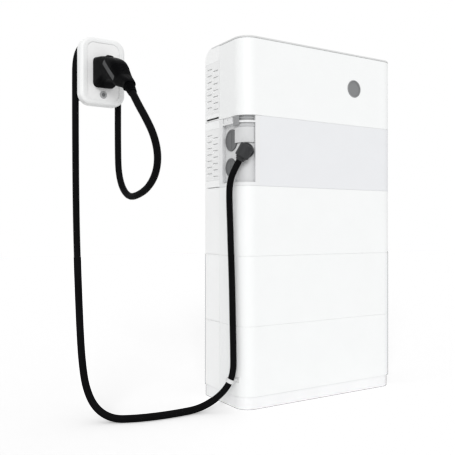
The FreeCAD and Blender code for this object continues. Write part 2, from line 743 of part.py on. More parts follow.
CIRCLE = "Part::GeomCircle"


def make_outlet():
    """The elbow that the charge cable leaves by: flange, collar, drum-shaped body and tapered gland."""
    wall, out, turn, down, end = outlet_points()
    radius = value("outlet_flange")
    sunk = value("corner_radius - bay_depth - panel_thickness / 2") - math.sqrt(
        value("corner_radius - bay_depth") ** 2 - radius ** 2)
    flange = Part.makeCylinder(radius, sunk + 6, wall - out * sunk, out)
    inner = Part.makeCylinder(value("corner_radius - bay_depth + fit_gap"), 4 * radius,
                              Vector(value(LEFT + " + corner_radius"), value(FRONT + " + corner_radius"),
                                     wall.z - 2 * radius), Vector(0, 0, 1))
    collar = Part.makeCylinder(value("outlet_body - 3"), value("outlet_reach") + sunk, wall - out * sunk, out)
    body_radius = value("outlet_body")
    drum_top = turn - down * value("outlet_above")
    drum = Part.makeCylinder(body_radius, value("outlet_above + outlet_below"), drum_top, down)
    ends = [edge for edge in drum.Edges if edge.Curve.TypeId == CIRCLE]
    drum = drum.makeFillet(value("outlet_round"), ends)
    gland_length = value("outlet_drop - outlet_below")
    tip = value("cable_diameter / 2 + 2.5")
    gland = Part.makeCone(tip + 3, tip, gland_length, turn + down * value("outlet_below"), down)
    item = doc.addObject("Part::Feature", "outlet_elbow")
    item.Shape = flange.multiFuse([collar, drum, gland]).cut(inner).removeSplitter()
    node("outlet_elbow", item)


def make_joining_bracket():
    """The bracket in the open joint that holds the inverter to the charger."""
    y1 = BAY_REAR + " + 6"
    z0 = "(%s + bay_rim + fit_gap)" % BAY_HIGH
    bracket = block("joining_bracket_form", BAY_SIDE + " - bracket_thickness", BAY_SIDE, y1 + " - bracket_length", y1,
                    z0, INVERTER)
    screw = rod("joining_bracket_recess", BAY_SIDE + " - bracket_thickness - 1", y1 + " - bracket_length / 2",
                "(%s + %s) / 2" % (z0, INVERTER), "5", "4", "X")
    node("joining_bracket", cut("joining_bracket", bracket, screw))


def make_charger():
    make_charger_cover()
    outside, inside = make_housing("charger_housing", CHARGER, "charger_height", left_inset=PANEL_INSET)
    cut_vents(outside, "charger_housing", CHARGER, left_inset=PANEL_INSET)
    cut_plug_hole(outside, "charger_housing_plug_hole", CHARGER + " + charger_height - sheet", "sheet")
    node("charger_housing", cut("charger_housing", outside, inside))
    make_floor("charger_floor", CHARGER, left_inset=PANEL_INSET)
    make_grilles("charger", CHARGER)
    make_connection_panel()
    make_caps()
    make_outlet()
    make_joining_bracket()
    make_heat_sink("charger_heat_sink", CHARGER)
    make_board("charger_power_board", CHARGER)
    make_fan("charger", CHARGER)


def round_rear_top(body, name):
    """The upper rear edge of the inverter is round, and its lid has a seat in front of that."""
    round_edges(body, name + "_rear_top", "rear_top_radius",
                lambda box: box.XLength > 100 and near(box.Center.z, TOP) and near(box.Center.y, BACK))
    seat = rectangle(LEFT + " - 1", RIGHT + " + 1", FRONT + " - 1", "(%s - top_cap_back + fit_gap)" % BACK)
    extrude(body, "Pocket", name + "_seat", seat, TOP + " - top_cap_height", "top_cap_height + 1")


def button_place():
    return "start_button_side", "(%s + start_button_height)" % INVERTER


def make_inverter_cover():
    name = "inverter_cover"
    height = "(inverter_height - top_cap_height - lid_gap + seam / 2)"
    outside, inside = make_cover(name, INVERTER, height)
    x, z = button_place()
    drill(outside, "Pocket", name + "_button_hole", [(x, z, "start_button_radius + bezel_width + button_gap")],
          "(tower_depth / 2 - cover_thickness - 1)", "cover_thickness + 2", plane="XZ")
    node(name, cut(name, outside, inside))


def make_top_cap():
    name = "inverter_lid"
    body = new_body(name)
    back = "(%s - top_cap_back)" % BACK
    extrude(body, "Pad", name + "_plate", rectangle(LEFT, RIGHT, FRONT, back), TOP + " - top_cap_height",
            "top_cap_height")
    round_uprights(body, name + "_corners", "corner_radius", [(LEFT, FRONT), (RIGHT, FRONT)])
    round_edges(body, name + "_edge", "top_cap_round",
                lambda box: box.ZLength < 0.01 and near(box.Center.z, TOP) and not near(box.YMin, back))
    node(name, body)


def make_button():
    """The round button, its ring and the bush that guides it."""
    x, z = button_place()
    front = FRONT
    bush_back = "(cover_thickness + 20)"
    ring_outer = rod("bezel_outer", x, front + " + %s" % bush_back, z, "start_button_radius + bezel_width",
                     bush_back + " + 1", "-Y")
    ring_inner = rod("bezel_inner", x, front + " + cover_thickness + 12", z, "start_button_radius + button_gap",
                     "cover_thickness + 20", "-Y")
    stem_hole = rod("bezel_stem_hole", x, front + " + %s + 1" % bush_back, z, "6 + button_gap", "30", "-Y")
    flange = rod("bezel_flange", x, front + " + %s + 2 * sheet" % INSET, z, "start_button_radius + bezel_width + 6",
                 "sheet", "-Y")
    form = cut("bezel_cup", fuse("bezel_form", [ring_outer, flange]), ring_inner)
    node("button_bezel", cut("button_bezel", form, stem_hole))
    cap = rod("button_cap", x, front + " + 7", z, "start_button_radius", "6.2", "-Y")
    dish = rod("button_dish", x, front + " + 1.6", z, "start_button_radius - 5", "2", "-Y")
    stem = rod("button_stem", x, front + " + %s" % bush_back, z, "6", "%s - 6" % bush_back, "-Y")
    node("start_button", fuse("start_button", [cut("button_face", cap, dish), stem]))


def make_wall_brackets():
    """Two brackets between the inverter and the wall, with a hole above the rounded edge."""
    z0 = "(%s + ear_bottom)" % INVERTER
    ears = []
    for side, sign in (("left", "-"), ("right", "")):
        middle = "(%sear_spacing / 2)" % sign
        plate = block("ear_" + side, middle + " - ear_width / 2", middle + " + ear_width / 2", BACK, WALL,
                      z0, z0 + " + ear_height")
        hole = rod("ear_hole_" + side, middle, BACK + " - 1", z0 + " + ear_height - 15", "wall_hole", "sheet + 2", "Y")
        ears.append(cut("ear_plate_" + side, plate, hole))
    node("wall_brackets", group("wall_brackets", ears))


def make_inverter():
    make_inverter_cover()
    outside, inside = make_housing("inverter_housing", INVERTER, "inverter_height", top=round_rear_top)
    cut_vents(outside, "inverter_housing", INVERTER)
    foot = INVERTER + " + 2 * sheet"
    low = rectangle("(cover_end + seam + 4)", "(tower_depth / 2 - 12)", foot, foot + " + inlet_height")
    extrude(outside, "Pocket", "inverter_inlets", low, LEFT + " - 1", "tower_width + 2", plane="YZ")
    x, z = button_place()
    drill(outside, "Pocket", "inverter_button_hole", [(x, z, "start_button_radius + bezel_width + button_gap")],
          "(tower_depth / 2 - %s - sheet - 1)" % INSET, "sheet + 3", plane="XZ")
    node("inverter_housing", cut("inverter_housing", outside, inside))
    make_floor("inverter_floor", INVERTER)
    make_top_cap()
    make_grilles("inverter", INVERTER)
    make_button()
    make_wall_brackets()
    make_heat_sink("inverter_heat_sink", INVERTER)
    make_board("inverter_power_board", INVERTER)
    make_fan("inverter", INVERTER)


DOCK_LEFT = "(%s - dock_width / 2)" % DOCK_X
DOCK_RIGHT = "(%s + dock_width / 2)" % DOCK_X
DOCK_TOP = "(dock_bottom + dock_height)"
DOCK_MIDDLE = "(dock_bottom + dock_height / 2)"
GUN_Z = "(dock_bottom + gun_height)"
SOCKET_DEPTH = "(nose_length + fit_gap)"


def centred(x, z, width, height):
    """A rectangle about a middle, on the XZ plane."""
    return rectangle("%s - %s / 2" % (x, width), "%s + %s / 2" % (x, width), "%s - %s / 2" % (z, height),
                     "%s + %s / 2" % (z, height))


def round_along_y(body, name, radius, x0, x1, z0, z1):
    """Rounds the four edges that run along Y at the corners of a rectangle."""
    round_edges(body, name, radius,
                lambda box: box.YLength > 0.5 and box.XLength < 0.01 and box.ZLength < 0.01
                and (near(box.Center.x, x0) or near(box.Center.x, x1))
                and (near(box.Center.z, z0) or near(box.Center.z, z1)))


def sides_of(x, z, width, height):
    return ("%s - %s / 2" % (x, width), "%s + %s / 2" % (x, width), "%s - %s / 2" % (z, height),
            "%s + %s / 2" % (z, height))


def make_dock_shell():
    name = "dock_shell"
    body = new_body(name + "_outside")
    outer = centred(DOCK_X, DOCK_MIDDLE, "dock_width", "dock_height")
    extrude(body, "Pad", name + "_form", outer, "(-dock_back)", "dock_back - dock_front", plane="XZ")
    round_along_y(body, name + "_corners", "dock_corner", DOCK_LEFT, DOCK_RIGHT, "dock_bottom", DOCK_TOP)
    round_edges(body, name + "_front_edge", "dock_edge",
                lambda box: box.YLength < 0.01 and near(box.Center.y, "dock_front"))
    cut_socket_hole(body, name)
    drill(body, "Pocket", name + "_button_hole", [(DOCK_X, "dock_bottom + dock_button_height",
          "dock_button_radius + button_gap")], "(-dock_front - 20)", "22", plane="XZ")
    wide = "(dock_width - 2 * dock_wall)"
    tall = "(dock_height - 2 * dock_wall)"
    inside = make_slab(name + "_inside", DOCK_MIDDLE, wide, tall, "dock_corner - dock_wall", "(-dock_back - 1)",
                       "dock_back - dock_front - dock_wall - 3")
    recess = make_slab(name + "_recess", DOCK_MIDDLE, "face_width", "face_height", "face_corner",
                       "(-dock_front - face_sink - 2)", "face_sink + 3")
    node(name, cut(name, body, group(name + "_spaces", [inside, recess])))


def make_slab(name, z, wide, tall, corner, start, length):
    """A slab with rounded corners that faces the front, about the dock's middle plane."""
    body = new_body(name)
    extrude(body, "Pad", name + "_form", centred(DOCK_X, z, wide, tall), start, length, plane="XZ")
    round_along_y(body, name + "_corners", corner, *sides_of(DOCK_X, z, wide, tall))
    return body


def cut_socket_hole(body, name):
    wide = "(nose_width + 2 * socket_wall + 4 * fit_gap)"
    tall = "(nose_height + 2 * socket_wall + 4 * fit_gap)"
    extrude(body, "Pocket", name + "_socket_hole", centred(DOCK_X, GUN_Z, wide, tall), "(-dock_front - 20)",
            "22", plane="XZ")
    round_along_y(body, name + "_socket_corners", "nose_corner + socket_wall + 2 * fit_gap",
                  *sides_of(DOCK_X, GUN_Z, wide, tall))


def make_dock_face():
    """The sunk face, a separate panel in the shell's recess."""
    name = "dock_face"
    body = new_body(name)
    wide = "(face_width - 2 * fit_gap)"
    tall = "(face_height - 2 * fit_gap)"
    extrude(body, "Pad", name + "_plate", centred(DOCK_X, DOCK_MIDDLE, wide, tall),
            "(-dock_front - face_sink - 2)", "2", plane="XZ")
    round_along_y(body, name + "_corners", "face_corner - fit_gap", *sides_of(DOCK_X, DOCK_MIDDLE, wide, tall))
    cut_socket_hole(body, name)
    drill(body, "Pocket", name + "_button_hole", [(DOCK_X, "dock_bottom + dock_button_height",
          "dock_button_radius + button_gap")], "(-dock_front - 20)", "22", plane="XZ")
    node(name, body)


def make_socket():
    """The cup that the front of the gun sits in."""
    name = "dock_socket"
    wide = "(nose_width + 2 * socket_wall + 2 * fit_gap)"
    tall = "(nose_height + 2 * socket_wall + 2 * fit_gap)"
    start = "(-dock_front - face_sink - %s - socket_wall)" % SOCKET_DEPTH
    outside = make_slab(name + "_outside", GUN_Z, wide, tall, "nose_corner + socket_wall + fit_gap", start,
                        "%s + socket_wall" % SOCKET_DEPTH)
    extrude(outside, "Pad", name + "_flange", centred(DOCK_X, GUN_Z, "(%s + 12)" % wide, "(%s + 12)" % tall),
            "(-dock_front - dock_wall - 4 - socket_wall)", "socket_wall", plane="XZ")
    inside = make_slab(name + "_inside", GUN_Z, "(nose_width + 2 * fit_gap)", "(nose_height + 2 * fit_gap)",
                       "nose_corner + fit_gap", start + " + socket_wall", SOCKET_DEPTH + " + 1")
    node(name, cut(name, outside, inside))


def make_dock_back():
    """The plate that closes the shell behind."""
    name = "dock_back_plate"
    body = new_body(name)
    wide = "(dock_width - 2 * dock_wall - 2 * fit_gap)"
    tall = "(dock_height - 2 * dock_wall - 2 * fit_gap)"
    extrude(body, "Pad", name + "_form", centred(DOCK_X, DOCK_MIDDLE, wide, tall), "(-dock_back)", "1.5", plane="XZ")
    round_along_y(body, name + "_corners", "dock_corner - dock_wall - fit_gap",
                  *sides_of(DOCK_X, DOCK_MIDDLE, wide, tall))
    node(name, body)


def make_hub():
    """The hub that the cable is hung over: a round-topped box between the dock and the wall."""
    name = "dock_hub"
    body = new_body(name)
    z_low = "(dock_bottom + hub_bottom)"
    z_middle = "(dock_bottom + hub_top)"

    def form(stage, kind, radius, low, start, length):
        corners = rectangle("%s - %s" % (DOCK_X, radius), "%s + %s" % (DOCK_X, radius), low, z_middle)
        extrude(body, kind, name + stage + "_legs", corners, start, length, plane="XZ")
        drill(body, kind, name + stage + "_round", [(DOCK_X, z_middle, radius)], start, length, plane="XZ")

    form("_outside", "Pad", "hub_radius", z_low, "(-%s)" % WALL, "%s - dock_back" % WALL)
    form("_inside", "Pocket", "(hub_radius - hub_wall)", z_low + " + hub_wall", "(hub_wall - %s)" % WALL,
         "%s - dock_back" % WALL)
    low = "(dock_bottom + dock_hole_low)"
    holes = [
        ("%s %s dock_hole_x / 2" % (DOCK_X, sign), "%s + %s" % (low, lift), "dock_hole")
        for sign in "-+" for lift in ("0", "dock_hole_z")
    ]
    drill(body, "Pocket", name + "_screw_holes", holes, "(-%s - 1)" % WALL, "hub_wall + 2", plane="XZ")
    node(name, body)


def make_dock_button():
    x = DOCK_X
    z = "(dock_bottom + dock_button_height)"
    cap = rod("dock_button_cap", x, "dock_front + 9", z, "dock_button_radius", "9.5", "-Y")
    stem = rod("dock_button_stem", x, "dock_front + 30", z, "5", "22", "-Y")
    node("dock_button", fuse("dock_button", [cap, stem]))
    outer = rod("dock_bush_outer", x, "dock_front + 26", z, "dock_button_radius + 3", "22 - dock_wall", "-Y")
    inner = rod("dock_bush_inner", x, "dock_front + 23", z, "dock_button_radius + button_gap", "20", "-Y")
    well = rod("dock_bush_well", x, "dock_front + 31", z, "5 + button_gap", "20", "-Y")
    node("dock_button_bush", cut("dock_button_bush", cut("dock_bush_cup", outer, inner), well))


def make_dock():
    make_dock_shell()
    make_dock_face()
    make_socket()
    make_dock_back()
    make_hub()
    make_dock_button()


# The gun. Sections from its front: y, z, half width, half height, lean in degrees, corner.
GUN_SECTIONS = [
    (20, -2.3, 38, 50.3, 0, 17),
    (-15, -1.5, 37, 42.5, 2, 19),
    (-50, -8, 35, 37, 8, 20),
    (-84, -23, 33, 35, 19, 20),
    (-112.5, -47.5, 30, 28.5, 27, 18),
    (-138, -65, 26, 23, 38, 15),
    (-164, -77, 21, 20, 45, 13),
]
GUN_LEAN = 45.57
CABLE_END = Vector(0, -204, -115)


def gun_point(y, z):
    """A point on the gun's middle plane. z counts from the axis of its head."""
    return Vector(value(DOCK_X), y, value(GUN_Z) + z)


def gun_direction():
    """The way that the cable leaves the gun."""
    lean = math.radians(GUN_LEAN)
    return Vector(0, -math.cos(lean), -math.sin(lean))


def rounded_section(middle, lean, half_width, half_height, corner):
    """A rounded rectangle across the gun. It faces along -Y at lean 0 and further down as lean grows."""
    angle = math.radians(lean)
    across = Vector(1, 0, 0)
    up = Vector(0, -math.sin(angle), math.cos(angle))
    arcs = []
    for x, z in ((1, -1), (1, 1), (-1, 1), (-1, -1)):
        knee = middle + across * (x * (half_width - corner)) + up * (z * (half_height - corner))
        side = knee + across * (x * corner)
        end = knee + up * (z * corner)
        bend = knee + (across * x + up * z) * (corner / math.sqrt(2))
        arcs.append(Part.Arc(end, bend, side) if x * z < 0 else Part.Arc(side, bend, end))
    edges = []
    for arc, after in zip(arcs, arcs[1:] + arcs[:1]):
        edges += [arc.toShape(), Part.LineSegment(arc.EndPoint, after.StartPoint).toShape()]
    return Part.Wire(edges)


def gun_form(swell):
    """The gun's outer form, with swell added to its half widths."""
    face = value("dock_front + face_sink")
    width = value("gun_half_width") + swell
    height = value("gun_half_height")
    end = gun_point(CABLE_END.y, CABLE_END.z) - gun_direction() * value("relief_length")
    sections = [rounded_section(gun_point(face, 0), 0, width, height, 16)]
    sections += [
        rounded_section(gun_point(y, z), lean, half_width + swell, half_height, corner)
        for y, z, half_width, half_height, lean, corner in GUN_SECTIONS
    ]
    sections.append(rounded_section(end, GUN_LEAN, 19.5 + swell, 19.5, 13))
    return Part.makeLoft(sections, True, False)


def feature(name, shape):
    item = doc.addObject("Part::Feature", name)
    item.Shape = shape
    return node(name, item)


def ribbed_cone(leave, direction):
    """A tapered sleeve with ribs, turned round the line that the cable leaves by."""
    length = value("relief_length")
    wide = value("relief_radius")
    narrow = value("cable_diameter / 2 + 2.5")
    ribs = 4
    pitch = length / (ribs + 1)
    profile = [(0, 0), (wide, 0)]
    for rib in range(1, ribs + 1):
        radius = wide + (narrow - wide) * rib * pitch / length
        profile += [(radius, rib * pitch - 2.2), (radius - 1.6, rib * pitch - 1.4), (radius - 1.6, rib * pitch + 1.4),
                    (radius - 0.4, rib * pitch + 2.2)]
    profile += [(narrow, length), (0, length)]
    side = Vector(1, 0, 0)
    base = leave - direction * length
    points = [base + side * radius + direction * height for radius, height in profile]
    face = Part.Face(Part.makePolygon(points + points[:1]))
    return face.revolve(base, direction, 360)


def box_between(x, y, z):
    """A box from three pairs of numbers."""
    return Part.makeBox(x[1] - x[0], y[1] - y[0], z[1] - z[0], Vector(x[0], y[0], z[0]))


def make_gun():
    form = gun_form(0)
    core = gun_form(-1.6)
    middle = value(DOCK_X)
    start = gun_point(-42, 14)
    end = gun_point(-118, -56)
    along = end - start
    across = Vector(0, along.z, -along.y).normalize() * 8
    outline = Part.makePolygon([start + across, end + across, end - across, start - across, start + across])
    bar = Part.Face(outline).extrude(Vector(120, 0, 0))
    bar.translate(Vector(-60, 0, 0))
    inlays = gun_form(0.8).common(bar).cut(core)
    top = value(GUN_Z) + value("thumb_level")
    half_width = value("thumb_width / 2")
    half_length = value("thumb_length / 2")
    gap = value("button_gap")
    thumb_y = value("thumb_place")
    proud = value("thumb_proud")
    depth = value("thumb_depth")
    well = box_between((middle - half_width - gap, middle + half_width + gap),
                       (thumb_y - half_length - gap, thumb_y + half_length + gap),
                       (top - depth - value("thumb_travel") - 1, top + 10))
    feature("gun_shell", form.cut(inlays).cut(well).removeSplitter())
    feature("gun_side_inlays", inlays)
    thumb = box_between((middle - half_width, middle + half_width),
                        (thumb_y - half_length, thumb_y + half_length), (top - depth, top + proud))
    rims = [edge for edge in thumb.Edges if near(edge.BoundBox.Center.z, str(top + proud))]
    feature("gun_thumb_button", thumb.makeFillet(2, rims))
    make_nose(middle)
    direction = gun_direction()
    leave = gun_point(CABLE_END.y, CABLE_END.z)
    feature("gun_strain_relief", ribbed_cone(leave, direction))


# Contacts: side and height from the axis of the head, and radius.
CONTACTS = [
    (0, 22, 5), (-14, 22, 5), (14, 22, 5), (-7, 34, 3), (7, 34, 3), (-8, 9, 4), (8, 9, 4), (-14, -22, 8), (14, -22, 8),
]


def make_nose(middle):
    """The front of the gun: an insulator with two sunk fields and the contacts in it."""
    face = value("dock_front + face_sink")
    length = value("nose_length")
    half_width = value("nose_width / 2")
    half_height = value("nose_height / 2")
    section = rounded_section(gun_point(face, 0), 0, half_width, half_height, value("nose_corner"))
    nose = Part.Face(section).extrude(Vector(0, length, 0))
    pins = []
    for side, lift, radius in CONTACTS:
        foot = gun_point(face + 4, lift) + Vector(side, 0, 0)
        nose = nose.cut(Part.makeCylinder(radius, length, foot, Vector(0, 1, 0)))
        pins.append(Part.makeCylinder(radius, length - 10, foot, Vector(0, 1, 0)))
    feature("gun_nose", nose)
    feature("gun_contacts", Part.makeCompound(pins))


# The charge cable. Corners of its route after the outlet, in order: first from the foot of the tower's
# left front corner, then on the floor, and then from the foot of the dock's middle.
TOWER_ROUTE = [
    (-82, -4, 828), (-80, -1, 768), (-78, -3, 690), (-77.5, -7, 600), (-77, -14, 480), (-77, -19, 345),
    (-77, -23, 225), (-77, -25, 137), (-100, -14, 82), (-142, 6, 40), (-197, 22, 14),
]
FLOOR_ROUTE = [
    (-600, -62, 12), (-690, -58, 12), (-770, -41, 12), (-835, -8, 12), (-881, 33, 45), (-903, 68, 111),
    (-909, 90, 200), (-912, 101, 300), (-915, 107.5, 420), (-919, 111, 560), (-922, 112.3, 690),
]
DOCK_ROUTE = [
    (-79, 112.8, -261), (-80, 113, -101), (-80.3, 113, 49), (-80, 113, 189), (-33.1, 113, 236), (33.1, 113, 236),
    (80, 113, 189), (79.8, 113.2, 69), (79.4, 113.3, -41), (79.7, 113.2, -141), (81.5, 113, -228), (83, 79, -289),
    (84, 18, -322), (84, -57, -318), (83, -140, -298), (78, -211, -258), (66, -255, -204), (46, -269, -144),
    (19, -266, -90), (0, -241.8, -39.6),
]


def tower_corner():
    """The axis of the tower's rounded left front corner, at the floor."""
    return Vector(value(LEFT + " + corner_radius"), value(FRONT + " + corner_radius"), 0)


def cable_points():
    down, end = outlet_points()[3:]
    first = end + down * 50
    dock = Vector(value(DOCK_X), 0, value("dock_bottom"))
    points = [end, first] + [tower_corner() + Vector(*point) for point in TOWER_ROUTE]
    points += [Vector(*point) for point in FLOOR_ROUTE] + [dock + Vector(*point) for point in DOCK_ROUTE]
    return points + [gun_point(CABLE_END.y, CABLE_END.z)]


def cable_path(points):
    """Straight runs joined by tangent arcs, with the radius of each arc."""
    edges = []
    radii = []
    here = points[0]
    for before, corner, after in zip(points, points[1:], points[2:]):
        into = corner - before
        out = after - corner
        half_turn = into.getAngle(out) / 2
        reach = 0.45 * min(into.Length, out.Length)
        radii.append(reach / math.tan(half_turn))
        start = corner - into.normalize() * reach
        end = corner + out.normalize() * reach
        bisector = (end - corner + start - corner).normalize()
        bend = corner + bisector * (radii[-1] / math.cos(half_turn) - radii[-1])
        edges.append(Part.LineSegment(here, start).toShape())
        edges.append(Part.Arc(start, bend, end).toShape())
        here = end
    edges.append(Part.LineSegment(here, points[-1]).toShape())
    return Part.Wire(edges), radii


def make_cable():
    path, radii = cable_path(cable_points())
    radius = value("cable_diameter / 2")
    first = path.Edges[0]
    start = first.valueAt(first.FirstParameter)
    section = Part.Wire([Part.makeCircle(radius, start, first.tangentAt(first.FirstParameter))])
    tube = path.makePipeShell([section], True, True)
    feature("charge_cable", tube)
    print("cable radii", [round(r) for r in radii])
    share = tube.Volume / (math.pi * radius ** 2 * path.Length)
    print("cable length", round(path.Length), "volume share", round(share, 4))


def make_clip():
    """The clip that holds the cable off the lowest cover, round a straight stretch of it."""
    points = cable_points()
    upper, lower = points[9:11]
    axis = (lower - upper).normalize()
    middle = (upper + lower) / 2
    length = value("clip_length")
    inner = value("cable_diameter / 2 + 0.1")
    corner = tower_corner() + Vector(0, 0, middle.z)
    radius = value("corner_radius")
    outward = (middle - corner).normalize()
    ring = Part.makeCylinder(inner + value("clip_wall"), length, middle - axis * (length / 2), axis)
    bore = Part.makeCylinder(inner, 3 * length, middle - axis * (1.5 * length), axis)
    side = Vector(-outward.y, outward.x, 0)

    def slab(near_end, far_end, half_width, half_height):
        low_corner = corner + outward * near_end - side * half_width - Vector(0, 0, half_height)
        wire = Part.makePolygon([low_corner, low_corner + side * (2 * half_width),
                                 low_corner + side * (2 * half_width) + Vector(0, 0, 2 * half_height),
                                 low_corner + Vector(0, 0, 2 * half_height), low_corner])
        return Part.Face(wire).extrude(outward * (far_end - near_end))

    arm = slab(radius - 5, (middle - corner).Length, 6, 5)
    foot = slab(radius - 5, radius + 3, 14, 10)
    skin = Part.makeCylinder(radius, 200, corner - Vector(0, 0, 100), Vector(0, 0, 1))
    feature("cable_clip", ring.multiFuse([arm, foot]).cut(bore).cut(skin).removeSplitter())


make_plinth()
for number in range(1, BATTERIES + 1):
    make_battery(number)
make_plugs()
make_charger()
make_inverter()
make_dock()
make_gun()
make_cable()
make_clip()
doc.recompute()

faults = [item.Name for item in doc.Objects if "Invalid" in item.State or "Error" in item.State]
faults += [name for name, item in NODES if item.Shape.isNull() or not item.Shape.isValid()]
if faults:
    raise ValueError("faults: " + ", ".join(faults))

os.makedirs("parts", exist_ok=True)
for name, item in NODES:
    item.Shape.exportStep("parts/%s.step" % name)
print(len(NODES), "pieces")
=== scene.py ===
import json
import math
import bmesh
import bpy
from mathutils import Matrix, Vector


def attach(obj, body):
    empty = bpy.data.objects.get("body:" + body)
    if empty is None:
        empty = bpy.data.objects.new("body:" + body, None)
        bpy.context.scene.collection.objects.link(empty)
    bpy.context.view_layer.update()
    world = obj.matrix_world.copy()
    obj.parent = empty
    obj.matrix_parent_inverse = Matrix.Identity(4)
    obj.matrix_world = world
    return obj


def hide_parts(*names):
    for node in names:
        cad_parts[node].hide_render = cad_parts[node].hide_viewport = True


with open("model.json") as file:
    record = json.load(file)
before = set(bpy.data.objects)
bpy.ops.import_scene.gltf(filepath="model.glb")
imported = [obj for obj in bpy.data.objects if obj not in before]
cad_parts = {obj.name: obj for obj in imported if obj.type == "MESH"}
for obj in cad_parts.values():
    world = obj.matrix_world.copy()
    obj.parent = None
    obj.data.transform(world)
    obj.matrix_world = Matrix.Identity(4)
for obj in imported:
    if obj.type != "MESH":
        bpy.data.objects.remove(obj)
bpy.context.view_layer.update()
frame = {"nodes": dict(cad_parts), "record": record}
nodes = frame["nodes"]
BODY = "tower_and_dock"


# Materials. Every finish is made from noise in object space, with its edges softened.
def link(tree, source, output, target, socket):
    tree.links.new(source.outputs[output], target.inputs[socket])


def noise(tree, coords, scale, detail=3.0):
    node = tree.nodes.new("ShaderNodeTexNoise")
    node.inputs["Scale"].default_value = scale
    node.inputs["Detail"].default_value = detail
    link(tree, coords, "Object", node, "Vector")
    return node


BLOTCH_SCALE = 7.0
BLOTCH_RANGE = (0.35, 0.65)
GLOSS_SCALE = 40.0
GLOSS_RANGE = (0.3, 0.7)
GLOSS_CHANGE = 0.06
BUMP_STRENGTH = 0.5
BEVEL_SAMPLES = 4
BEVEL_RADIUS = 0.0008


def spread(tree, source, low, high):
    """Maps the middle range of a noise to the range from low to high."""
    node = tree.nodes.new("ShaderNodeMapRange")
    node.inputs["From Min"].default_value, node.inputs["From Max"].default_value = GLOSS_RANGE
    node.inputs["To Min"].default_value = low
    node.inputs["To Max"].default_value = high
    link(tree, source, "Fac", node, "Value")
    return node


def finish(name, color, roughness, grain=900, depth=0.00004, tint=0.03, metallic=0.0, specular=0.4,
           stretch=None):
    """A surface with uneven colour and gloss, a fine texture and rounded edges."""
    material = bpy.data.materials.new(name)
    material.use_nodes = True
    tree = material.node_tree
    shader = tree.nodes["Principled BSDF"]
    shader.inputs["Metallic"].default_value = metallic
    shader.inputs["Specular IOR Level"].default_value = specular
    coords = tree.nodes.new("ShaderNodeTexCoord")
    ramp = tree.nodes.new("ShaderNodeValToRGB")
    dark, light = ramp.color_ramp.elements
    dark.position, light.position = BLOTCH_RANGE
    dark.color = [c * (1 - tint) for c in color] + [1]
    light.color = list(color) + [1]
    link(tree, noise(tree, coords, BLOTCH_SCALE), "Fac", ramp, "Fac")
    link(tree, ramp, "Color", shader, "Base Color")
    uneven = noise(tree, coords, GLOSS_SCALE)
    gloss = spread(tree, uneven, roughness - GLOSS_CHANGE, roughness + GLOSS_CHANGE)
    link(tree, gloss, "Result", shader, "Roughness")
    texture = noise(tree, coords, grain, 2.0)
    if stretch:
        mapping = tree.nodes.new("ShaderNodeMapping")
        mapping.inputs["Scale"].default_value = stretch
        link(tree, coords, "Object", mapping, "Vector")
        link(tree, mapping, "Vector", texture, "Vector")
    bump = tree.nodes.new("ShaderNodeBump")
    bump.inputs["Strength"].default_value = BUMP_STRENGTH
    bump.inputs["Distance"].default_value = depth
    link(tree, texture, "Fac", bump, "Height")
    bevel = tree.nodes.new("ShaderNodeBevel")
    bevel.samples = BEVEL_SAMPLES
    bevel.inputs["Radius"].default_value = BEVEL_RADIUS
    link(tree, bevel, "Normal", bump, "Normal")
    link(tree, bump, "Normal", shader, "Normal")
    return material


